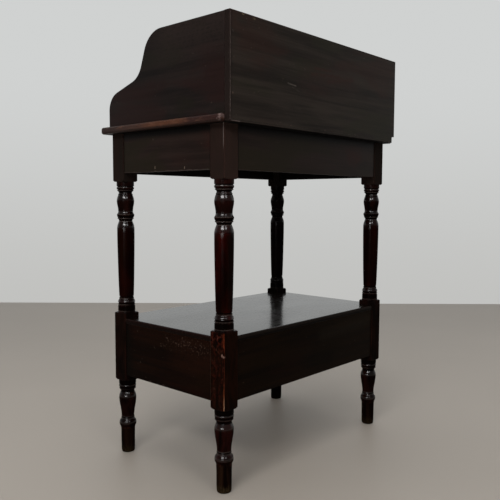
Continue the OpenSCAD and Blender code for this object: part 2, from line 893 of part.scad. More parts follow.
// The dovetails of a drawer side in the plane of y and z, from their shoulder to their tips and,
// as sockets, with room round them and on past the tips
module dovetail_shapes(shoulder_y, tip_y, room, beyond) {
    pitch = drawer_h / dovetails;
    out = tip_y > shoulder_y ? 1 : -1;
    tip_w = (pitch - pin_w) / 2;
    end_w = tip_w + beyond * dovetail_slope + room;
    neck_w = tip_w - abs(tip_y - shoulder_y) * dovetail_slope + room;
    for (i = [0:dovetails - 1])
        translate([0, drawer_z + pitch * (i + 0.5)])
            polygon([[shoulder_y - out * join, -neck_w], [shoulder_y, -neck_w],
                     [tip_y + out * beyond, -end_w], [tip_y + out * beyond, end_w],
                     [shoulder_y, neck_w], [shoulder_y - out * join, neck_w]]);
}

// Those dovetails at one side of the drawer
module dovetail_row(x_side, shoulder_y, tip_y) {
    translate([x_side > 0 ? drawer_x - drawer_side_t : -drawer_x, 0, 0]) rotate([90, 0, 90])
        linear_extrude(height = drawer_side_t) dovetail_shapes(shoulder_y, tip_y, 0, 0);
}

// The sockets for them, which open to the drawer's side
module socket_row(x_side, shoulder_y, tip_y, beyond) {
    translate([x_side > 0 ? drawer_x - drawer_side_t - joint_fit : -drawer_x - past, 0, 0])
        rotate([90, 0, 90]) linear_extrude(height = drawer_side_t + joint_fit + past)
        dovetail_shapes(shoulder_y, tip_y, joint_fit, beyond);
}

// The space that the drawer bottom takes, grown by the room of its grooves
module bottom_space(room) {
    x = drawer_x - drawer_side_t + bottom_groove_d;
    block([-x - room, side_front - bottom_groove_d - room, bottom_z - room],
          [x + room, drawer_rear + (room > 0 ? past : 0), bottom_z + drawer_bottom_t + room]);
}

module drawer_front() {
    color(show_dark)
    difference() {
        block([-drawer_x, face_y, drawer_z], [drawer_x, side_front, drawer_z + drawer_h]);
        for (side = [-1, 1])
            socket_row(side, side_front, face_y + dovetail_lap, joint_fit);
        bottom_space(joint_fit);
        for (side = [-1, 1])
            knob_hole(side);
    }
}

// A drawer side, dovetailed into the front and the back, grooved for the bottom
module drawer_side(x_side) {
    back_front_y = drawer_rear - drawer_side_t;
    color(inner_wood)
    difference() {
        union() {
            block([x_side > 0 ? drawer_x - drawer_side_t : -drawer_x, side_front, drawer_z],
                  [x_side > 0 ? drawer_x : drawer_side_t - drawer_x, back_front_y, drawer_z + drawer_h]);
            dovetail_row(x_side, side_front, face_y + dovetail_lap);
            dovetail_row(x_side, back_front_y, drawer_rear);
        }
        bottom_space(joint_fit);
    }
}

module drawer_side_right() {
    drawer_side(1);
}

module drawer_side_left() {
    drawer_side(-1);
}

// The back stands on the bottom and is lower than the sides
module drawer_back() {
    back_front_y = drawer_rear - drawer_side_t;
    color(inner_wood)
    difference() {
        block([-drawer_x, back_front_y, back_z], [drawer_x, drawer_rear, back_z + back_h]);
        for (side = [-1, 1])
            socket_row(side, back_front_y, drawer_rear, past);
    }
}

module drawer_bottom() {
    color(inner_wood) bottom_space(0);
}

// A turned knob, with a spigot that goes into the drawer front
knob_outline = concat(
    [[0, -spigot_l], [spigot_r, -spigot_l], [spigot_r, 0], [knob_foot_r, 0],
     [knob_foot_r, knob_foot_h]],
    ogee([knob_foot_r, knob_foot_h], [knob_neck_r, knob_neck_h], 5),
    ogee([knob_neck_r, knob_neck_h], [knob_r, knob_full_h], 7),
    [for (t = steps(9)) [knob_r * cos(90 * t), along(knob_full_h, knob_out, sin(90 * t))]]);

module at_knob(x_side) {
    translate([x_side * knob_spacing / 2, face_y, drawer_z + drawer_h / 2]) rotate([90, 0, 0]) children();
}

module knob_hole(x_side) {
    at_knob(x_side) translate([0, 0, -drawer_front_t - past])
        cylinder(h = drawer_front_t + 2 * past, r = spigot_r + joint_fit, $fn = round_fn);
}

module drawer_knob(x_side) {
    color(turned_dark) at_knob(x_side) rotate_extrude($fn = round_fn) polygon(knob_outline);
}

module drawer_knob_right() {
    drawer_knob(1);
}

module drawer_knob_left() {
    drawer_knob(-1);
}

leg_rear_right();
leg_rear_left();
leg_front_right();
leg_front_left();
frieze_front();
frieze_back();
frieze_right();
frieze_left();
apron_back();
apron_right();
apron_left();
drawer_rail_top();
drawer_rail_bottom();
shelf();
top_board();
nosing_front();
nosing_right();
nosing_left();
gallery_back();
gallery_right();
gallery_left();
runner_right();
runner_left();
guide_right();
guide_left();
kicker_right();
kicker_left();
drawer_stops();
top_blocks();
shelf_blocks();
top_screws();
runner_screws();
gallery_dowels();
panel_nails();
drawer_front();
drawer_side_right();
drawer_side_left();
drawer_back();
drawer_bottom();
drawer_knob_right();
drawer_knob_left();
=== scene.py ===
"""A two-tier washstand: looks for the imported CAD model, in metres and in the CAD's own frame."""

import math

import bpy
from mathutils import Matrix, Vector


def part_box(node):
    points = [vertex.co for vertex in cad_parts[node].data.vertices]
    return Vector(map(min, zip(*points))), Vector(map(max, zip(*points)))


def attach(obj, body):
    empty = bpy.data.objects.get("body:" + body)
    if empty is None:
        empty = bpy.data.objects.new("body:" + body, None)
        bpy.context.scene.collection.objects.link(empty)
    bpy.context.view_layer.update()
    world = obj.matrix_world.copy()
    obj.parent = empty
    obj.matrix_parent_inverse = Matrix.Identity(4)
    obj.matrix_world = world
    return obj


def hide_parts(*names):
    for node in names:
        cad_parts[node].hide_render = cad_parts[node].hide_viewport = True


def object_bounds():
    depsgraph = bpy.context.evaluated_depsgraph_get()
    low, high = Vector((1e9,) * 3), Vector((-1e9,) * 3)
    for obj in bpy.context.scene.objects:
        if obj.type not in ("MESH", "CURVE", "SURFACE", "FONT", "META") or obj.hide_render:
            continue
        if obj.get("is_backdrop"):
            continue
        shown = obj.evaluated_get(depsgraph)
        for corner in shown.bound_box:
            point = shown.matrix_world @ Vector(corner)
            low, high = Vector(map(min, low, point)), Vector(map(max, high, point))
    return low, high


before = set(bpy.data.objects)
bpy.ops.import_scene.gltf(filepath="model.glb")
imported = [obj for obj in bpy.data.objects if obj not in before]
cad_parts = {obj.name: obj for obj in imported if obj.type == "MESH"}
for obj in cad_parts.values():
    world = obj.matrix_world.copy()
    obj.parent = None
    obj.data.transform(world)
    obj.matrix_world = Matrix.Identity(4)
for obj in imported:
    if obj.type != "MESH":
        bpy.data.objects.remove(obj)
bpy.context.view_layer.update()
mm = 0.001


# The camera stands behind the washstand and to its right, at a little over half its height, and
# looks slightly down, as the one that took the photograph did.
heading, tilt, lean = 0.8370, -0.0772, 0.0033
looking = Vector(
    (-math.sin(heading) * math.cos(tilt), -math.cos(heading) * math.cos(tilt), math.sin(tilt))
)
bpy.ops.object.camera_add(location=(1.2414, 1.0955, 0.6251))
camera = bpy.context.object
camera.name = "camera"
camera.rotation_euler = (
    looking.to_track_quat("-Z", "Y").to_matrix() @ Matrix.Rotation(lean, 3, "Z")
).to_euler()
camera.data.sensor_width = 36
camera.data.lens = 45.81
bpy.context.scene.camera = camera
bpy.context.scene.view_settings.view_transform = "Standard"


# Every finish is built from these two. Python's operators on a channel add Math nodes, and
# Finish.add puts in any other node.
class Channel:
    """One output of a shader node."""

    def __init__(self, finish, output):
        self.finish, self.output = finish, output

    def __add__(self, other):
        return self.finish.maths("ADD", self, other)

    def __sub__(self, other):
        return self.finish.maths("SUBTRACT", self, other)

    def __mul__(self, other):
        return self.finish.maths("MULTIPLY", self, other)

    def __truediv__(self, other):
        return self.finish.maths("DIVIDE", self, other)

    def __rsub__(self, other):
        return self.finish.maths("SUBTRACT", other, self)

    __radd__, __rmul__ = __add__, __mul__

    def least(self, other):
        return self.finish.maths("MINIMUM", self, other)

    def most(self, other):
        return self.finish.maths("MAXIMUM", self, other)

    def power(self, other):
        return self.finish.maths("POWER", self, other)

    def size(self):
        return self.finish.maths("ABSOLUTE", self)

    def over(self, start, end):
        """0 below start, 1 above end, with a smooth change between them."""
        return self.finish.add(
            "MapRange",
            {"interpolation_type": "SMOOTHSTEP"},
            {"Value": self, "From Min": start, "From Max": end},
        )


class Finish:
    """A material, or the room's own colour, in the making."""

    def __init__(self, name, kind="materials", coordinates="Object"):
        self.material = getattr(bpy.data, kind).new(name)
        self.material.use_nodes = True
        self.nodes = self.material.node_tree.nodes
        self.place = self.add("TexCoord", {}, {}, coordinates)

    def add(self, kind, settings, inputs, out=0):
        """A node of a kind, with its settings and the values or links of its inputs."""
        node = self.nodes.new("ShaderNode" + kind)
        for name, value in settings.items():
            setattr(node, name, value)
        self.feed(node, inputs)
        return Channel(self, node.outputs[out])

    def feed(self, node, inputs):
        for socket, value in inputs.items():
            if isinstance(value, Channel):
                self.material.node_tree.links.new(value.output, node.inputs[socket])
            else:
                node.inputs[socket].default_value = value

    def maths(self, operation, *values):
        return self.add("Math", {"operation": operation}, dict(enumerate(values)))

    def vector(self, operation, *values):
        return self.add("VectorMath", {"operation": operation}, dict(enumerate(values)))

    def parts(self, vector):
        """The three numbers of a vector."""
        node = self.add("SeparateXYZ", {}, {0: vector}).output.node
        return [Channel(self, output) for output in node.outputs]

    def blend(self, share, first, second):
        """The first colour where share is 0, and the second where it is 1."""
        ends = [end if isinstance(end, Channel) else (*end, 1) for end in (first, second)]
        return self.add("Mix", {"data_type": "RGBA"}, {0: share, 6: ends[0], 7: ends[1]}, 2)

    def noise(self, stretch, detail=3, roughness=0.5, shift=(0, 0, 0), wobble=0):
        """Noise from 0 to 1 with stretch waves in a metre along each axis."""
        at = self.add(
            "Mapping", {}, {"Vector": self.place, "Location": shift, "Scale": stretch}
        )
        values = {"Vector": at, "Scale": 1, "Detail": detail, "Roughness": roughness}
        values["Distortion"] = wobble
        return self.add("TexNoise", {}, values)

    def distance(self, start, end):
        """How far a point of the surface is from the straight line between two points."""
        line = end - start
        offset = self.vector("SUBTRACT", self.place, start)
        share = self.add(
            "VectorMath",
            {"operation": "DOT_PRODUCT"},
            {0: offset, 1: line / line.length_squared},
            "Value",
        )
        foot = self.add(
            "VectorMath", {"operation": "SCALE"}, {0: line, "Scale": share.most(0).least(1)}
        )
        return self.add("VectorMath", {"operation": "DISTANCE"}, {0: offset, 1: foot}, "Value")

    def surface(self, **inputs):
        """Sets the surface's own inputs: an underscore stands for a space in a name."""
        named = {name.replace("_", " "): value for name, value in inputs.items()}
        self.feed(self.nodes["Principled BSDF"], named)

    def bump(self, height, distance, strength):
        values = {"Height": height, "Distance": distance, "Strength": strength}
        return self.add("Bump", {}, values)


# A plain floor that ends at the room's far wall, a room whose wall is pale ahead of the camera and
# dimmer behind it, and four soft lamps: two like a tall window left of the camera, a small one
# right of it, and a wide one overhead.
room = Finish("room", "worlds", "Generated")
bpy.context.scene.world = room.material
ahead = room.add("VectorMath", {"operation": "DOT_PRODUCT"}, {0: room.place, 1: looking}, "Value")
across, along, upward = room.parts(room.place)
wall = room.blend(upward.over(-0.2, 0.2), (0.53, 0.53, 0.515), (0.63, 0.642, 0.637))
walls = room.blend(ahead.over(-0.2, 0.75), (0.15, 0.15, 0.15), wall)
walls = room.blend(upward.over(0.55, 0.9), walls, (0.5, 0.5, 0.5))
room.feed(room.nodes["Background"], {"Color": walls})

floor_side, to_wall = 9, 2.2
level = Vector((looking.x, looking.y, 0)).normalized()
bpy.ops.mesh.primitive_plane_add(
    size=floor_side, rotation=(0, 0, -heading), location=level * (to_wall - floor_side / 2)
)
floor = bpy.context.object
floor.name = "floor"
bpy.ops.object.transform_apply()
floor_grey = Finish("floor_grey")
clouds = floor_grey.noise((1.5, 1.5, 1.5), 2)
floor_grey.surface(
    Base_Color=floor_grey.blend(clouds, (0.368, 0.327, 0.282), (0.421, 0.375, 0.326)),
    Roughness=0.5,
)
floor.data.materials.append(floor_grey.material)
floor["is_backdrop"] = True

stand_middle = Vector((0, 0, 0.55))
for name, place, wide, high, power, spread in (
    ("lamp_left_of_camera", (1.90, 0.80, 1.72), 1.15, 0.34, 21.0, 180),
    ("lamp_left_of_camera_low", (1.90, 0.80, 0.42), 1.0, 0.14, 1.5, 60),
    ("lamp_right_of_camera", (0.85, 1.75, 1.72), 0.5, 0.32, 4.8, 180),
    ("lamp_overhead", (0.1, 0.1, 2.9), 1.8, 1.8, 21.5, 180),
):
    bpy.ops.object.light_add(type="AREA", location=place)
    lamp = bpy.context.object
    lamp.name = name
    lamp.data.shape = "RECTANGLE"
    lamp.data.size, lamp.data.size_y = wide, high
    lamp.data.energy = power
    lamp.data.spread = math.radians(spread)
    lamp.rotation_euler = (stand_middle - lamp.location).to_track_quat("-Z", "Y").to_euler()


# Legs: each is turned from one square billet of mahogany, left square where the rails enter,
# stained and polished. Long use has rubbed the arrises and the toes.
leg_square = 42 * mm
leg_x = 290 * mm
leg_rear_y, leg_front_y = 164.5 * mm, -171.5 * mm


def select_only(piece):
    """Makes one object the selected and active one."""
    bpy.ops.object.select_all(action="DESELECT")
    piece.select_set(True)
    bpy.context.view_layer.objects.active = piece


def curve(start, end, steps, shape):
    """Points after start and up to end, whose radius changes as shape says."""
    points = []
    for step in range(1, steps + 1):
        share = step / steps
        radius = start[0] + (end[0] - start[0]) * shape(share)
        points.append((radius, start[1] + (end[1] - start[1]) * share))
    return points


def flowing(start, end, steps=12):
    """A curve that is level at both ends, like the side of a vase."""
    return curve(start, end, steps, lambda share: (1 - math.cos(math.pi * share)) / 2)


def swelling(start, end, steps=10):
    """A curve that is quick at first and level at the end, like a bulb that leaves a neck."""
    return curve(start, end, steps, lambda share: math.sin(math.pi / 2 * share))


def flaring(start, end, steps=8, turn=1.6):
    """A curve that is level at first and steepest at the end, like the mouth of a trumpet."""
    return curve(start, end, steps, lambda share: share**turn)


def bead(top, bottom, radius, depth):
    """A small half-round between two quirks."""
    points, steps = [], 8
    for step in range(steps + 1):
        angle = math.pi * step / steps
        height = (top + bottom) / 2 + (top - bottom) / 2 * math.cos(angle)
        points.append((radius - depth + depth * math.sin(angle), height))
    return points


def turned(name, outline):
    """A round form about the Z axis: each ring of (radius, height) is drawn down from the last."""
    (radius, height), *rest = [(r * mm, h * mm) for r, h in outline]
    bpy.ops.object.select_all(action="DESELECT")
    bpy.ops.mesh.primitive_circle_add(
        vertices=64, radius=radius, fill_type="NGON", location=(0, 0, height)
    )
    piece = bpy.context.object
    piece.name = name
    bpy.ops.object.transform_apply()
    bpy.ops.object.mode_set(mode="EDIT")
    bpy.ops.mesh.select_all(action="SELECT")
    for next_radius, next_height in rest:
        bpy.ops.mesh.extrude_region_move(
            TRANSFORM_OT_translate={"value": (0, 0, next_height - height)}
        )
        wider = next_radius / radius
        bpy.ops.transform.resize(value=(wider, wider, 1), center_override=(0, 0, next_height))
        radius, height = next_radius, next_height
    bpy.ops.mesh.select_all(action="SELECT")
    bpy.ops.mesh.normals_make_consistent(inside=False)
    bpy.ops.object.mode_set(mode="OBJECT")
    return piece


# Down the leg from its top. At the square blocks the outline passes outside the billet, and only
# their corners are turned away.
block_end, outside = 25.2, 31.0
leg_outline = [
    (outside, 783), (outside, 673.8), (block_end, 670), (20.9, 670),
    (20.9, 659.8), (19.2, 659.3), (19.2, 658), *bead(657.8, 651.6, 20.9, 1.6), (18.6, 651.2),
    (18.6, 650.1), (19.4, 649.8), (19.4, 647.8), (17.5, 647.3), (16.3, 645.4), (15.8, 643.8),
    *flowing((15.8, 643.2), (17.8, 639.2), 5), (17.8, 638.9), (17.1, 638.5), (17.1, 637.9),
    (18.0, 637.4),
    *swelling((18.0, 637.4), (20.9, 624.5)),
    *flowing((20.9, 624.5), (17.8, 599.6)),
    *flaring((17.8, 599), (20.5, 591.6), 8, 1.8), (20.9, 591.3), (20.9, 589),
    *flaring((20.6, 588.4), (18.4, 582.7), 6),
    (19.4, 582.4), (19.4, 580.4), (17.2, 579.9), (16.6, 577.6), (15.8, 576), (15.8, 575.4),
    (16.7, 575), (16.7, 574),
    *swelling((16.7, 574), (20.9, 558)),
    (20.9, 540), (20.8, 527), (20.6, 515), (20.4, 500), (20.1, 484), (19.8, 468), (19.5, 452),
    (19.2, 438), (18.8, 424), (18.4, 411), (18.0, 400), (17.6, 391.4),
    (16.6, 390.4), (16.6, 388.4), (17.8, 387.8), (17.8, 385.4), (17.3, 385), (17.5, 384.4),
    *swelling((17.5, 384.4), (20.7, 377.8), 8), (20.9, 377.4), (20.9, 376.4), (19.6, 375.8),
    (19.6, 372.6), (20.7, 372), (20.7, 370.2), (19.5, 369.6), (19.5, 368), (20.7, 367.4),
    (20.8, 351.6),
    (block_end, 351.6), (outside, 348.4),
    (outside, 187.4), (block_end, 183.4), (20.9, 183.4), (20.9, 173.8), (19.4, 173.2),
    (19.4, 172), *bead(171.6, 164.6, 20.9, 1.6), (18.9, 164.2), (18.9, 162.8), (20.1, 162.4),
    (20.1, 160), (18.6, 159.5), (17.2, 156.4), (16.4, 154.8), (16.4, 153.6), (16.9, 152.8),
    *swelling((16.9, 152.8), (20.95, 140)), (20.95, 138),
    *flowing((20.95, 138), (15.6, 91)),
    (15.6, 89.4), (16.2, 88.6), (16.3, 85.6),
    *flowing((16.3, 85.6), (20.6, 76)),
    (20.8, 74), (20.8, 73), (20.5, 70.6),
    *flowing((20.5, 70.6), (17.8, 62.4)),
    (17.3, 60), (17.1, 55), (16.9, 44), (16.8, 30), (16.6, 14), (16.3, 6), (15.8, 2), (14.9, 0.6),
    (13.6, 0),
]
leg_form = turned("leg_form", leg_outline)

bpy.ops.mesh.primitive_cube_add(
    size=1, location=(0, 0, 390 * mm), scale=(leg_square, leg_square, 820 * mm)
)
billet = bpy.context.object
bpy.ops.object.transform_apply()
squared = billet.modifiers.new("turned", "BOOLEAN")
squared.operation = "INTERSECT"
squared.solver = "EXACT"
squared.object = leg_form
bpy.ops.object.modifier_apply(modifier=squared.name)
bpy.data.objects.remove(leg_form)


def ease(piece, chosen, radius):
    """Rounds over the edges that chosen picks by their two ends."""
    select_only(piece)
    bpy.ops.object.mode_set(mode="EDIT")
    bpy.ops.mesh.select_mode(type="EDGE")
    bpy.ops.mesh.select_all(action="DESELECT")
    bpy.ops.object.mode_set(mode="OBJECT")
    points = [vertex.co for vertex in piece.data.vertices]
    for edge in piece.data.edges:
        edge.select = chosen(points[edge.vertices[0]], points[edge.vertices[1]])
    bpy.ops.object.mode_set(mode="EDIT")
    bpy.ops.mesh.bevel(offset=radius, segments=3, affect="EDGES")
    bpy.ops.object.mode_set(mode="OBJECT")


def close(a, b):
    """True where two lengths are the same to a hundredth of a millimetre."""
    return abs(a - b) < 0.01 * mm


def smooth_but_flats(piece, flat_area):
    """Smooth shading, apart from sharp edges and from faces of more than flat_area, in m2."""
    select_only(piece)
    bpy.ops.object.shade_smooth_by_angle(angle=math.radians(40))
    bpy.ops.object.mode_set(mode="EDIT")
    bpy.ops.mesh.select_mode(type="FACE")
    bpy.ops.mesh.select_all(action="DESELECT")
    bpy.ops.object.mode_set(mode="OBJECT")
    for face in piece.data.polygons:
        face.select = face.area > flat_area
    bpy.ops.object.mode_set(mode="EDIT")
    bpy.ops.mesh.faces_shade_flat()
    bpy.ops.object.mode_set(mode="OBJECT")


half_square = leg_square / 2
ease(
    billet,
    lambda a, b: all(close(abs(p[i]), half_square) for p in (a, b) for i in (0, 1))
    and not close(a.z, b.z),
    1.6 * mm,
)
smooth_but_flats(billet, 0.0008)


def corner_wear_and_shade(finish, colour, height, upper, shaft, lower):
    """The rear right leg's own wear and painted shade: a shaft painted darker on its rear side as
    shade, a painted highlight along the right face of its upper square, and on the right face of
    its lower square mottling, wood rubbed bare along the arris, chips and a scratch."""
    x, y, z = finish.parts(finish.place)
    # Painted shade: the shaft's rear side is darker.
    shaded_side = y - leg_rear_y - x + leg_x
    shade_red, shade_brown = (0.0020, 0.0005, 0.0003), (0.0044, 0.0028, 0.0020)
    colour = finish.blend(shaded_side.over(-10 * mm, 5 * mm) * shaft * 0.5, colour, shade_red)
    colour = finish.blend(shaded_side.over(3 * mm, 16 * mm) * shaft * 0.6, colour, shade_brown)

    right_face = leg_x + half_square
    on_right = ((x - (right_face - 1.2 * mm)) / (0.6 * mm)).most(0).least(1)
    face = on_right * lower
    from_rear = (leg_rear_y + half_square - y).size()
    low, high = z.over(262 * mm, 200 * mm), z.over(308 * mm, 334 * mm)
    ragged = finish.noise((420, 420, 130), 3, 0.65, (5, 1, 3))
    chips = finish.noise((170, 150, 110), 3, 0.6, (2, 2, 5), 0.6)
    patchy = finish.noise((70, 70, 50), 2, 0.5, (9, 4, 2)).over(0.42, 0.60)
    columns = finish.noise((60, 190, 9), 2, 0.5, (6, 3, 8)).over(0.50, 0.62)
    mottle = finish.blend(
        chips.over(0.42, 0.62), (0.0016, 0.0007, 0.0005), (0.042, 0.0072, 0.0040)
    )
    colour = finish.blend(face * (0.12 + high * 0.4 + patchy * 0.25), colour, mottle)
    colour = finish.blend(columns * face * 0.55, colour, (0.0014, 0.0008, 0.0005))

    width = 1.5 * mm + low * (5 * mm) + high * (9.5 * mm)
    rubbed = ((1 - from_rear / width).most(0) + ragged * 1.8 - 1.15).over(0.05, 0.6) * face
    rubbed = rubbed * (low * 0.85 + high * (0.4 + patchy * 0.6) + patchy * 0.30 + 0.18).least(1)
    rubbed = rubbed * (1 - from_rear / (14 * mm)).most(0).power(0.4)
    bare_red = finish.blend(low, (0.100, 0.0180, 0.0070), (0.100, 0.026, 0.0095))
    colour = finish.blend(rubbed, colour, bare_red)
    core = (from_rear - 0.8 * mm).size().over(1.7 * mm, 0.3 * mm)
    core = core * z.over(222 * mm, 194 * mm) * face * (ragged * 1.8 - 0.1).least(1)
    colour = finish.blend(core, colour, (0.190, 0.115, 0.070))

    pale = chips.over(0.60, 0.68) * ragged.over(0.45, 0.60)
    colour = finish.blend(pale * face * (0.20 + high * 0.5), colour, (0.065, 0.036, 0.030))
    chip = finish.distance(Vector((311, 183.2, 300)) * mm, Vector((311, 179, 302.5)) * mm)
    chip = (chip + (ragged - 0.5) * (6 * mm)).over(3.4 * mm, 2 * mm)
    colour = finish.blend(chip, colour, (0.125, 0.070, 0.056))
    scratch = finish.distance(Vector((311, 173.5, 304.5)) * mm, Vector((311, 150, 320)) * mm)
    scratch = scratch.over(1.6 * mm, 0.6 * mm) * ragged.over(0.35, 0.55)
    colour = finish.blend(scratch * 0.35, colour, (0.050, 0.020, 0.012))

    # The second line, near the rear arris of the upper square's right face, is a painted highlight.
    for away, place, strength, line_colour in (
        (41.5 * mm, face, 0.8, (0.045, 0.030, 0.020)),
        (2.6 * mm, z.over(725 * mm, 750 * mm) * on_right * upper, 0.65, (0.12, 0.098, 0.090)),
    ):
        line = (from_rear - away).size().over(1.6 * mm, 0.4 * mm) * place
        colour = finish.blend(line * strength, colour, line_colour)
    return colour, height - chips.over(0.5, 0.65) * face * 0.8 - rubbed * 0.5


def leg_polish(name, worn_and_lit=False):
    """Red-brown polish, glossy on the turnings, less so on the squares, and painted black in the
    hollows as shade. worn_and_lit is for the rear right leg, which has its own wear; the other
    three legs are painted darker and less red than it, as painted shade."""
    finish = Finish(name)
    x, y, z = finish.parts(finish.place)
    grain = finish.noise((330, 330, 10), 5, 0.6)
    blotch = finish.noise((40, 40, 14), 4, 0.55, wobble=0.5)
    wide = finish.noise((22, 22, 7), 2, 0.5, (4, 2, 6))
    fleck = finish.noise((380, 380, 170), 3, 0.6)

    # Where the leg's parts are: the upper square, the turned shaft, the lower square and the foot.
    upper = z.over(667 * mm, 672 * mm)
    from_middle = (z - 475 * mm).size()
    shaft = from_middle.over(85 * mm, 70 * mm)
    turnings = from_middle.over(98 * mm, 108 * mm)
    lower = (z - 267.5 * mm).size().over(84.5 * mm, 80 * mm)
    foot = z.over(200 * mm, 190 * mm)
    straight = z.over(66 * mm, 60 * mm)

    # Painted shade: the other three legs' deep red is darker.
    deep_red = (0.0182 if worn_and_lit else 0.0085, 0.0011, 0.0007)
    colour = finish.blend(blotch.over(0.38, 0.68), (0.0032, 0.0006, 0.0004), deep_red)
    colour = finish.blend(wide.over(0.50, 0.68) * 0.35, colour, (0.0090, 0.0030, 0.0012))
    umber = finish.blend(
        blotch.over(0.36, 0.66), (0.0022, 0.0011, 0.0009), (0.0115, 0.0040, 0.0031)
    )
    colour = finish.blend(turnings * 0.7, colour, umber)
    colour = finish.blend(grain.over(0.5, 0.75) * 0.5, colour, (0.002, 0.0009, 0.0006))

    # The hollows and two collars are painted nearly black, as painted shade, and the rims beside
    # them paler, as painted highlights.
    black, painted_rim_highlight = 0, 0
    for height, reach in (
        (658.7, 1.5), (650.6, 1.5), (645.5, 2.8), (638.2, 1.2), (585.5, 3.6), (577.6, 2.6),
        (389.4, 1.8), (374.2, 2.4), (362, 6), (178.5, 5.4), (172.6, 1.4), (163.5, 1.5), (154.8, 3),
        (88.6, 1.7),
    ):
        black = (z - height * mm).size().over(reach * mm, (reach - 0.8) * mm).most(black)
    for height in (656, 648.9, 590.9, 581.4, 574.5, 386.4, 371.1, 355, 169.2, 161.3, 91.4, 72.5):
        painted_rim_highlight = (z - height * mm).size().over(1.5 * mm, 0.5 * mm).most(painted_rim_highlight)
    painted_rim_highlight = painted_rim_highlight * (blotch + wide).over(0.75, 1.15) * (1 - foot * 0.35)
    colour = finish.blend(black * 0.85, colour, (0.0012, 0.0006, 0.0004))
    colour = finish.blend(painted_rim_highlight * 0.75, colour, (0.040, 0.030, 0.026))

    # The upper squares are painted greyer, as a painted sheen, less red on the other three legs as
    # painted shade, and paler still on the rear right leg's rear face. The lower squares are
    # browner. All are rubbed along their arrises.
    grey = 1 if worn_and_lit else 0.82
    grey_sheen = finish.blend(
        blotch, (0.0130 * grey, 0.0090, 0.0074), (0.0205 * grey, 0.0118 * grey, 0.0096 * grey)
    )
    if worn_and_lit:
        rear_face = (y - (leg_rear_y + half_square - 1 * mm)).over(0.2 * mm, 0.8 * mm)
        paler = {0: grey_sheen, "Scale": rear_face * 0.6 + 1}
        grey_sheen = finish.add("VectorMath", {"operation": "SCALE"}, paler)
        browns = (0.0056, 0.0028, 0.0015), (0.0108, 0.0042, 0.0020)
    else:
        # Painted shade: the other three legs' lower squares are darker.
        browns = (0.0043, 0.0026, 0.0019), (0.0074, 0.0036, 0.0025)
    colour = finish.blend(upper * 0.95, colour, grey_sheen)
    colour = finish.blend(lower * 0.7, colour, finish.blend(blotch.over(0.35, 0.65), *browns))
    from_corner = half_square - (x.size() - leg_x).size().least(
        (y - leg_rear_y).size().least((y - leg_front_y).size())
    )
    arris = (1 - from_corner / (2.8 * mm)).most(0) * (blotch * 0.7 + fleck * 0.5).over(0.35, 0.8)
    colour = finish.blend(arris * 0.6, colour, (0.020, 0.0065, 0.0045))

    # The end of the foot is streaky, chafed below its ring, and worn to olive at the toe. On the
    # other three legs these colours are painted darker, as painted shade.
    shade = 1 if worn_and_lit else 0.55
    dark_streak, brown_streak, dark_olive, pale_olive = (
        [share * shade for share in shades]
        for shades in (
            (0.0026, 0.0010, 0.0007), (0.0150, 0.0068, 0.0038),
            (0.008, 0.0045, 0.0018), (0.040, 0.026, 0.0125),
        )
    )
    streaks = finish.blend(grain.over(0.42, 0.58), dark_streak, brown_streak)
    colour = finish.blend(z.over(68 * mm, 58 * mm) * 0.85, colour, streaks)
    chafed = (z - 62.5 * mm).size().over(5 * mm, 1 * mm) * (fleck + blotch).over(0.95, 1.2)
    colour = finish.blend(chafed * 0.7, colour, (0.032, 0.0105, 0.0062))
    toe = (z.over(34 * mm, 1 * mm) * 1.1 + grain * 1.2 - 0.95).over(0, 0.7)
    olive = finish.blend(fleck.over(0.35, 0.65), dark_olive, pale_olive)
    colour = finish.blend(toe * 0.85, colour, olive)

    # Beads and hollows keep their gloss where they face up. Handling has dulled the plain parts.
    facing_up = finish.parts(finish.add("NewGeometry", {}, {}, "Normal"))[2]
    plain = shaft + straight + upper + lower
    gloss = (1 - plain.least(1)) * facing_up.over(-0.04, 0.13) + (shaft + straight) * 0.002
    gloss = gloss * (1 - black * 0.85) * (1 - facing_up.over(0.38, 0.55) * 0.6) * 0.85
    height = grain * 0.5 + blotch * 1.2
    if worn_and_lit:
        colour, height = corner_wear_and_shade(finish, colour, height, upper, shaft, lower)
    else:
        # Painted shade: the front left leg is painted nearly black on its inner side, and its gloss
        # is cut there.
        inner_side = (x + y + leg_x - leg_front_y).over(-14 * mm, -2 * mm)
        far_leg_shade = x.over(0, -100 * mm) * y.over(0, -100 * mm) * inner_side
        colour = finish.blend(far_leg_shade * 0.65, colour, (0.0015, 0.0014, 0.0013))
        gloss = gloss * (1 - far_leg_shade * 0.7)
    finish.surface(
        Base_Color=colour,
        Roughness=0.17 + wide * 0.08 + blotch * 0.06 + upper * 0.12 + lower * 0.08,
        Specular_IOR_Level=0.004,
        Coat_Weight=gloss.most(0.002),
        Coat_Roughness=0.17,
        Normal=finish.bump(height, 0.4 * mm, 0.4),
    )
    return finish.material


# One polish in two copies: the rear right leg's, worn and lit, and the other three legs', painted
# darker as shade.
leg_finish = leg_polish("leg_polish")
rubbed_lit_leg_finish = leg_polish("rubbed_lit_leg_polish", True)
for node, x, y in (
    ("leg_rear_right", leg_x, leg_rear_y),
    ("leg_rear_left", -leg_x, leg_rear_y),
    ("leg_front_right", leg_x, leg_front_y),
    ("leg_front_left", -leg_x, leg_front_y),
):
    leg = bpy.data.objects.new("turned_" + node, billet.data.copy())
    bpy.context.scene.collection.objects.link(leg)
    leg.data.transform(Matrix.Translation((x, y, 0)))
    leg.data.materials.append(rubbed_lit_leg_finish if node == "leg_rear_right" else leg_finish)
    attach(leg, "stand")
    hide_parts(node)
bpy.data.objects.remove(billet)


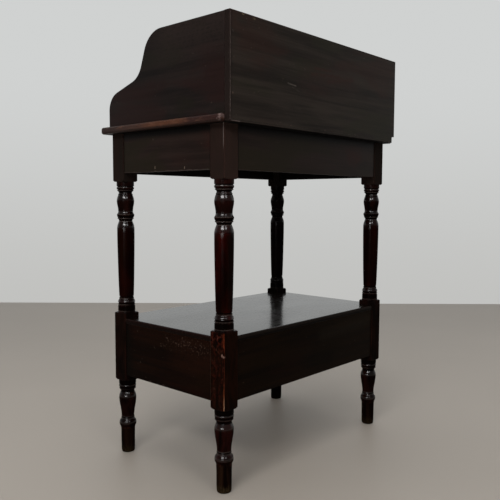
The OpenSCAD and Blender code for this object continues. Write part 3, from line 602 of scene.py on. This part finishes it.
# Friezes, aprons and drawer rails: mahogany boards tenoned into the legs, stained nearly black.
# Their outer arrises are eased, and the stain has gone from them in places.
def eased_copy(node, name, chosen, radius):
    """A copy of a CAD piece with its triangles merged into whole faces and some edges eased."""
    piece = bpy.data.objects.new(name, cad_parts[node].data.copy())
    bpy.context.scene.collection.objects.link(piece)
    piece.data.materials.clear()
    select_only(piece)
    bpy.ops.mesh.customdata_custom_splitnormals_clear()
    bpy.ops.object.mode_set(mode="EDIT")
    bpy.ops.mesh.select_all(action="SELECT")
    bpy.ops.mesh.remove_doubles(threshold=0.001 * mm)
    bpy.ops.mesh.dissolve_limited(angle_limit=math.radians(0.5))
    bpy.ops.object.mode_set(mode="OBJECT")
    ease(piece, chosen, radius)
    return piece


def box_edges(low, high):
    """Picks the edges of the box between two corners, for ease()."""

    def chosen(a, b):
        sides = [
            any(close(a[i], side[i]) and close(b[i], side[i]) for side in (low, high))
            for i in range(3)
        ]
        return sum(sides) >= 2

    return chosen


def ebonised(
    name, grain, low, high, ground, rubbed_colour, shine, roughness, rub=2.5 * mm, marks=(),
    specks=(), contrast=0.45, tinting=0.75, polished_above=None, shade_above=None, dark_ends=0,
    dark_under=0, dark_inside=False,
):
    """Nearly black stain and polish on a board between two corners: streaks along its grain,
    cloudy polish, a few pale nicks, arrises rubbed as far as rub, and marks and specks of its own.
    It may be glossier on the faces above one height. Painted shade may make it darker towards its
    top, and nearly black close to its ends, underneath or on the face inside the stand."""
    shade_black = (0.0006, 0.0004, 0.0003)
    finish = Finish(name)
    long = "xyz".index(grain)

    def stretched(along, across):
        return [along if i == long else across for i in range(3)]

    fibre = finish.noise(stretched(9, 420), 4, 0.6)
    streak = finish.noise(stretched(2.6, 60), 4, 0.6, wobble=0.5)
    cloud = finish.noise(stretched(3.5, 9), 3, 0.55, (3, 1, 2), 0.4)
    tint = finish.noise(stretched(4, 12), 3, 0.5, (7, 5, 1), 0.6)
    spot = finish.noise(stretched(130, 190), 2, 0.5, (1, 4, 9))

    dark = [share * (1 - contrast) for share in ground]
    pale = [share * (1 + contrast) for share in ground]
    shade = streak * 0.6 + fibre * 0.15 + cloud * 0.25
    colour = finish.blend(shade.over(0.38, 0.62), dark, pale)
    red = (ground[0] * 1.5, ground[1] * 0.8, ground[2] * 0.75)
    olive = (ground[0] * 0.85, ground[1] * 1.1, ground[2] * 0.7)
    colour = finish.blend(tint.over(0.52, 0.66) * tinting, colour, red)
    colour = finish.blend(tint.over(0.48, 0.36) * tinting, colour, olive)

    here = finish.parts(finish.place)
    above_low = here[2] - low.z
    centre, half = (low + high) / 2, (high - low) / 2
    depths = finish.vector(
        "SUBTRACT", half, finish.vector("ABSOLUTE", finish.vector("SUBTRACT", finish.place, centre))
    )
    x, y, z = depth = finish.parts(depths)
    from_arris = x.least(y).most(x.most(y).least(z))
    edge = (1 - from_arris / rub).most(0) * 1.4 + (spot * 0.9 + cloud * 0.5).over(0.5, 1.0) - 1
    rubbed = edge.over(0.0, 0.5)
    nick = spot.over(0.735, 0.76)

    colour = finish.blend(rubbed, colour, rubbed_colour)
    colour = finish.blend(nick * 0.35, colour, (0.10, 0.075, 0.055))
    rough = roughness + (cloud - 0.5) * 0.22 + (streak - 0.5) * 0.16 + rubbed * 0.1
    rough = rough + above_low.over(0.5 * mm, 0.2 * mm) * 0.45
    height = fibre * 0.25 + streak * 0.8 + cloud * 1.5 - nick * 0.6
    fine = finish.noise((230, 230, 230), 2, 0.5, (8, 3, 5))
    for start, end, width, strength in specks:
        near = (1 - finish.distance(Vector(start) * mm, Vector(end) * mm) / (width * mm)).most(0)
        speck = (fine + near * 0.13).over(0.69, 0.75) * near.over(0, 0.3) * strength
        colour = finish.blend(speck, colour, (0.078, 0.048, 0.036))
    # Painted shade: darker towards the top, under the board's overhang.
    if shade_above:
        grime = here[2].over(shade_above, high.z - 3 * mm).power(0.8)
        colour = finish.blend(grime * 0.92, colour, shade_black)
    # Painted shade in the joints with the legs.
    if dark_ends:
        joint = depth[long].over(dark_ends, dark_ends * 0.4)
        colour = finish.blend(joint * 0.9, colour, shade_black)
    # Painted shade on the face inside the stand.
    if dark_inside:
        thin = min(range(3), key=lambda i: half[i])
        inner = min(abs(low[thin]), abs(high[thin]))
        inside = here[thin].size().over(inner + 0.5 * mm, inner + 0.1 * mm)
        colour = finish.blend(inside * 0.95, colour, shade_black)
    # Painted shade underneath.
    if dark_under:
        under = above_low.over(dark_under, dark_under * 0.4)
        colour = finish.blend(under * 0.92, colour, (0.0012, 0.0006, 0.0005))
    if polished_above:
        polished = here[2].over(polished_above - 0.4 * mm, polished_above)
        colour = finish.blend(polished * 0.7, colour, (0.0012, 0.0008, 0.0006))
    for start, end, width, strength, mark_colour in marks:
        far = finish.distance(Vector(start) * mm, Vector(end) * mm)
        mark = (1 - far / (width * mm)).most(0) * (spot + fibre).over(0.6, 1.1) * strength
        colour = finish.blend(mark.least(1), colour, mark_colour)
    finish.surface(
        Base_Color=colour,
        Roughness=rough,
        Specular_IOR_Level=shine,
        Normal=finish.bump(height, 0.5 * mm, 0.3),
    )
    if polished_above:
        finish.surface(
            Coat_Weight=polished * (0.65 + streak * 0.25),
            Coat_Roughness=0.145,
        )
    return finish.material


def put_on(piece, material, body, slot, *nodes):
    """Gives a new piece its finish, and says what it rides on and stands for."""
    piece.data.materials.append(material)
    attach(piece, body)
    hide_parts(*nodes)


# Each look is the ground colour, the rubbed colour and the shine. Each mark is a line between two
# points in millimetres, with its width, its strength and its colour.
front_frieze = (0.0135, 0.0077, 0.0060), (0.0297, 0.01694, 0.0132), 0.09
side_frieze = (0.0135, 0.0077, 0.0060), (0.050, 0.037, 0.032), 0.09
back_frieze = (0.0168, 0.0100, 0.0080), (0.0252, 0.0150, 0.0120), 0.09
side_apron = (0.0049, 0.0014, 0.0005), (0.01078, 0.00308, 0.0011), 0.03
back_apron = (0.0044, 0.0018, 0.0005), (0.00968, 0.00396, 0.0011), 0.03
drawer_rail = (0.0078, 0.0036, 0.0024), (0.01716, 0.00792, 0.00528), 0.1
bare_nick, grey_speck = (0.16, 0.12, 0.09), (0.035, 0.022, 0.018)
board_marks = {
    "frieze_right": [
        ((309, -35.6, 697), (309, -35.6, 702), 1.2, 2.0, bare_nick),
        ((309, 63.4, 694), (309, 63.4, 698), 1.2, 1.5, bare_nick),
    ],
    "apron_right": [
        ((309, -1.6, 314.5), (309, 3, 314), 1.6, 1.6, grey_speck),
        ((309, 55.9, 315.2), (309, 60, 313), 1.6, 1.6, grey_speck),
        ((309, 110.4, 314.7), (309, 116, 311), 1.6, 1.6, grey_speck),
        ((309, 70, 285), (309, 140, 270), 75, 0.5, (0.0130, 0.0042, 0.0022)),
        ((309, -150, 205), (309, -150, 322), 36, 1.3, (0.0018, 0.0009, 0.0004)),
        ((309, -61, 202), (309, -57, 201.5), 2, 1.3, grey_speck),
        ((309, -14, 202), (309, -8, 201.5), 2, 1.3, grey_speck),
    ],
    "apron_back": [((-40, 183.5, 292), (-250, 183.5, 300), 24, 0.35, (0.016, 0.012, 0.008))],
}
apron_specks = [
    ((309, 0, 312), (309, 60, 306), 12, 0.55),
    ((309, 60, 312), (309, 140, 300), 26, 0.6),
    ((309, -20, 296), (309, 40, 292), 10, 0.3),
]
between_legs = {
    "x": (half_square - leg_x, leg_x - half_square),
    "y": (leg_front_y + half_square, leg_rear_y - half_square),
}
for node, grain, look in (
    ("frieze_front", "x", front_frieze),
    ("frieze_back", "x", back_frieze),
    ("frieze_right", "y", side_frieze),
    ("frieze_left", "y", side_frieze),
    ("apron_back", "x", back_apron),
    ("apron_right", "y", side_apron),
    ("apron_left", "y", side_apron),
    ("drawer_rail_top", "x", drawer_rail),
    ("drawer_rail_bottom", "x", drawer_rail),
):
    # The corners of what shows of the board, without the tenons at its ends.
    low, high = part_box(node)
    long = "xyz".index(grain)
    low[long], high[long] = between_legs[grain]
    is_frieze = node.startswith("frieze")
    rail = eased_copy(node, "eased_" + node, box_edges(low, high), (0.6 if is_frieze else 0.9) * mm)
    smooth_but_flats(rail, 0.0003)
    # Friezes get painted shade under the top and on their inner faces, and every board gets painted
    # shade at its ends by the legs.
    finish = ebonised(
        node + "_stain", grain, low, high, *look, 0.34, marks=board_marks.get(node, ()),
        specks=apron_specks if node == "apron_right" else (), contrast=0.28 if is_frieze else 0.5,
        tinting=0.35 if node == "apron_back" else 0.75,
        shade_above=high.z - 23 * mm if is_frieze else None, dark_ends=3 * mm,
        dark_inside=is_frieze,
    )
    put_on(rail, finish, "stand", "ebonised_board", node)


# Shelf: one board that lies on the aprons, notched round the legs, its edges rubbed round. Its
# polish is the brightest on the piece, and shows the legs and the wall in it.
shelf_low, shelf_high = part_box("shelf")


def shelf_edge(a, b):
    """Picks the lower edges of the shelf's four sides, and not those of its notches."""
    underneath = close(a.z, shelf_low.z) and close(b.z, shelf_low.z)
    at_side = any(
        close(a[i], limit[i]) and close(b[i], limit[i])
        for limit in (shelf_low, shelf_high)
        for i in (0, 1)
    )
    return underneath and at_side


shelf = eased_copy("shelf", "polished_shelf", shelf_edge, 1.5 * mm)
smooth_but_flats(shelf, 0.002)
# Along the right-hand edge: a pale line along its top, rubbed and painted as a highlight, over a
# red lower part, and a painted shadow along the joint under it. Along the back edge: a lighter band
# over a painted shadow along the joint.
shelf_light_and_shade_lines = [
    ((310, -191, 338.6), (310, 184, 338.6), 2.2, 1.4, (0.055, 0.040, 0.035)),
    ((310, -191, 334), (310, 184, 334), 7, 1.8, (0.0068, 0.0023, 0.0018)),
    ((310, -191, 329), (310, 184, 329), 6, 3, (0.0042, 0.0017, 0.0012)),
    ((-310, 184.5, 335), (310, 184.5, 335), 5.5, 1.8, (0.0080, 0.0054, 0.0042)),
    ((-310, 184.5, 328.5), (310, 184.5, 328.5), 5, 3, (0.0018, 0.0009, 0.0007)),
]
shelf_finish = ebonised(
    "shelf_polish", "x", shelf_low, shelf_high, (0.010, 0.0060, 0.0045), (0.018, 0.008, 0.006),
    0.04, 0.3, rub=5 * mm, marks=shelf_light_and_shade_lines, polished_above=shelf_high.z - 0.2 * mm,
)
put_on(shelf, shelf_finish, "stand", "ebonised_board", "shelf")


# Top board: plain and flat between the gallery's sides, where basin and jug stand. The CAD piece
# stays, under the same stain.
def dress(node, material):
    """Gives a CAD piece that stays its finish."""
    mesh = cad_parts[node].data
    mesh.materials.clear()
    mesh.materials.append(material)


board_low, board_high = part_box("top_board")
# Its underside is painted nearly black, as painted shade.
dress(
    "top_board",
    ebonised(
        "top_board_polish", "x", board_low, board_high, (0.010, 0.0065, 0.005),
        (0.020, 0.011, 0.009), 0.1, 0.3, polished_above=board_high.z - 0.2 * mm,
        dark_under=1.4 * mm,
    ),
)


# Nosing: a rounded strip glued round three sides of the board and mitred at the front. Hands have
# rubbed most of its stain off, so that the red-brown wood shows.
nosing = Finish("rubbed_nosing")
x, y, z = nosing.parts(nosing.place)
fibre = nosing.noise((170, 45, 500), 4, 0.6)
patch = nosing.noise((30, 18, 60), 4, 0.6, wobble=0.5)
spot = nosing.noise((260, 200, 300), 2)
colour = nosing.blend(
    y.over(-170 * mm, -80 * mm), (0.0255, 0.0135, 0.0106), (0.0418, 0.0184, 0.0127)
)
colour = nosing.blend(y.over(-80 * mm, -10 * mm), colour, (0.067, 0.0232, 0.0104))
colour = nosing.blend(y.over(65 * mm, 115 * mm), colour, (0.0205, 0.0068, 0.0054))
bare = nosing.blend(fibre, (0.088, 0.033, 0.016), (0.13, 0.062, 0.038))
colour = nosing.blend((patch * 0.6 + fibre * 0.4).over(0.52, 0.66) * 0.6, colour, bare)
colour = nosing.blend(patch.over(0.47, 0.36) * 0.6, colour, (0.028, 0.013, 0.009))
chipped = (spot * 1.7 + y.over(174 * mm, 192 * mm) * 0.75 - 1.45).over(0, 0.25)
chipped = chipped * y.over(178 * mm, 188 * mm)
in_shade = y.over(195.8 * mm, 196.4 * mm) * z.over(792.5 * mm, 788.5 * mm)
chipped = chipped * (1 - in_shade * 0.85)
colour = nosing.blend(chipped * 0.9, colour, (0.150, 0.100, 0.092))
colour = nosing.blend(spot.over(0.64, 0.68) * 0.8, colour, (0.010, 0.005, 0.004))
# Painted shade: darker towards its underside, with the stain that hands have not reached there.
colour = nosing.blend(z.over(790.5 * mm, 784.5 * mm) * 0.85, colour, (0.010, 0.0030, 0.0018))
nosing.surface(
    Base_Color=colour,
    Roughness=0.34 + patch * 0.15,
    Specular_IOR_Level=0.2,
    Normal=nosing.bump(fibre * 0.3 + patch + spot * 0.5, 0.6 * mm, 0.4),
)
for node in ("nosing_front", "nosing_right", "nosing_left"):
    dress(node, nosing.material)


# Gallery: a level back panel nailed over the board's rear edge, and two sides cut to a double
# curve and doweled to the board. All their edges are eased, and the panel's are rubbed to a thin
# pale line.
panel_low, panel_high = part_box("gallery_back")


def panel_edge(a, b):
    """Picks the panel's own outline on both faces, its worn lower corner with it, and not the
    nails' small holes."""
    on_face = any(close(a.y, y) and close(b.y, y) for y in (panel_low.y, panel_high.y))
    upright = abs(a.x - b.x) < 0.2 * mm and abs(abs(a.x) - panel_high.x) < 0.2 * mm
    level = close(a.z, b.z) and any(close(a.z, z) for z in (panel_low.z, panel_high.z))
    worn = 5.5 * mm
    corner = all(p.x > panel_high.x - worn and p.z < panel_low.z + worn for p in (a, b))
    return on_face and (upright or level or corner)


panel = eased_copy("gallery_back", "gallery_back_panel", panel_edge, 1.1 * mm)
smooth_but_flats(panel, 0.0001)
smear = (0.030, 0.014, 0.010)
panel_marks = [
    ((140.5, 212.5, 881), (112.2, 212.5, 878.3), 2.2, 1.3, (0.075, 0.062, 0.052)),
    ((125, 212.5, 874), (100, 212.5, 868), 1.6, 0.7, (0.045, 0.036, 0.030)),
    ((53.7, 212.5, 913), (-60, 212.5, 921), 6, 1.3, smear),
    ((-10, 212.5, 905), (-110.9, 212.5, 921), 9, 1.1, smear),
    ((60, 212.5, 900), (-90, 212.5, 925), 60, 0.6, (0.0270, 0.0150, 0.0125)),
    ((40, 212.5, 928), (-20, 212.5, 930), 5, 0.9, smear),
    ((287, 212.5, 996.4), (282, 212.5, 996), 2, 1.5, (0.11, 0.085, 0.05)),
    ((255, 212.5, 995.5), (250, 212.5, 994), 3, 1.5, (0.085, 0.065, 0.04)),
    ((320.5, 212.5, 784.4), (294, 212.5, 784.1), 1.9, 1.3, (0.090, 0.069, 0.063)),
    ((322, 199, 795), (322, 209, 786.5), 7, 3, (0.050, 0.034, 0.030)),
    ((322, 203.5, 783), (322, 203.5, 1000), 12, 2.5, (0.0125, 0.0080, 0.0068)),
]
# Its underside is painted nearly black, as painted shade.
panel_finish = ebonised(
    "panel_stain", "x", panel_low, panel_high, (0.0215, 0.0162, 0.0128), (0.115, 0.087, 0.077),
    0.07, 0.36, rub=1.8 * mm, marks=panel_marks, contrast=0.38, tinting=0.4, dark_under=1.4 * mm,
)
put_on(panel, panel_finish, "stand", "ebonised_board", "gallery_back")

for side, node in ((1, "gallery_right"), (-1, "gallery_left")):
    side_low, side_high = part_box(node)

    def side_edge(a, b):
        """Picks the curved outline on both faces, above the board and off the back panel."""
        on_face = any(close(a.x, x) and close(b.x, x) for x in (side_low.x, side_high.x))
        above_board = max(a.z, b.z) > side_low.z + 0.5 * mm
        return on_face and above_board and min(a.y, b.y) < side_high.y - 0.5 * mm

    gallery = eased_copy(node, node + "_side", side_edge, 1.6 * mm)
    smooth_but_flats(gallery, 0.002)
    paler_top = (side * 322, 30, 990), (side * 322, 200, 990), 95, 0.9, (0.0180, 0.0112, 0.0094)
    # The finish is given a box that reaches past the side's edges, so that none of them is rubbed.
    past = Vector((0, 200, 200)) * mm
    side_finish = ebonised(
        node + "_stain", "y", side_low - past, side_high + past, (0.0081, 0.0048, 0.0040),
        (0.03, 0.018, 0.012), 0.15, 0.34, marks=[paler_top],
    )
    put_on(gallery, side_finish, "stand", "ebonised_board", node)


# Inside: runners, guides and kickers for the drawer, its stops, and glue blocks, all of bare
# planed softwood that has darkened with age.
def planed(name, grain):
    """Bare softwood with its year rings as fine lines along the grain."""
    finish = Finish(name)
    long = "xyz".index(grain)
    rings = finish.noise([1.5 if i == long else 130 for i in range(3)], 3, 0.5, wobble=0.3)
    fibre = finish.noise([14 if i == long else 700 for i in range(3)], 3)
    dust = finish.noise((12, 12, 12), 3)
    colour = finish.blend(
        (rings * 0.8 + fibre * 0.2).over(0.35, 0.65), (0.30, 0.18, 0.095), (0.17, 0.09, 0.045)
    )
    colour = finish.blend(dust.over(0.4, 0.8) * 0.5, colour, (0.10, 0.065, 0.04))
    finish.surface(
        Base_Color=colour,
        Roughness=0.68 + dust * 0.15,
        Specular_IOR_Level=0.3,
        Normal=finish.bump(rings + fibre * 0.6, 0.4 * mm, 0.5),
    )
    return finish.material


wood_along = {axis: planed("softwood_along_" + axis, axis) for axis in "xyz"}
for node in ("runner", "guide", "kicker"):
    for side in ("_right", "_left"):
        dress(node + side, wood_along["y"])
for node in ("drawer_stops", "top_blocks", "shelf_blocks"):
    dress(node, wood_along["x"])
dress("gallery_dowels", wood_along["z"])


# Screws and nails: dull dark iron with a little rust. Screws hold the blocks under the top and the
# drawer's runners, and nails hold the back panel.
iron = Finish("dull_iron")
grime = iron.noise((180, 180, 180), 3)
iron.surface(
    Base_Color=iron.blend(grime.over(0.45, 0.7), (0.035, 0.031, 0.028), (0.05, 0.022, 0.012)),
    Metallic=grime.over(0.7, 0.45),
    Roughness=0.45 + grime * 0.3,
    Normal=iron.bump(grime, 0.2 * mm, 0.5),
)
for node in ("top_screws", "runner_screws", "panel_nails"):
    dress(node, iron.material)


# Drawer: a front stained like the rails and lapped over dovetailed sides of bare softwood, a bottom
# let into grooves, and two turned and polished knobs.
front_low, front_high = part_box("drawer_front")
front_edges = box_edges(front_low, front_high)
front = eased_copy(
    "drawer_front",
    "drawer_front_board",
    lambda a, b: front_edges(a, b) and close(a.y, front_low.y) and close(b.y, a.y),
    0.8 * mm,
)
smooth_but_flats(front, 0.0003)
front_finish = ebonised(
    "drawer_front_stain", "x", front_low, front_high, (0.0085, 0.0038, 0.0024),
    (0.022, 0.010, 0.007), 0.12, 0.32,
)
put_on(front, front_finish, "drawer", "ebonised_board", "drawer_front")
for node, grain in (
    ("drawer_side_right", "y"),
    ("drawer_side_left", "y"),
    ("drawer_back", "x"),
    ("drawer_bottom", "x"),
):
    dress(node, wood_along[grain])
knob = Finish("knob_polish")
rubbed = knob.noise((60, 60, 60), 3, 0.6, (3, 5, 2), 0.4)
rings = knob.noise((260, 260, 260), 3)
knob.surface(
    Base_Color=knob.blend(rubbed.over(0.4, 0.7), (0.0040, 0.0012, 0.0009), (0.020, 0.0045, 0.0028)),
    Roughness=0.22 + rings * 0.12,
    Specular_IOR_Level=0.1,
    Coat_Weight=0.3 + rubbed * 0.3,
    Coat_Roughness=0.14,
    Normal=knob.bump(rubbed + rings * 0.3, 0.4 * mm, 0.4),
)
for node in ("drawer_knob_right", "drawer_knob_left"):
    dress(node, knob.material)


# The bounds of what is shown, without the floor.
low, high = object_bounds()
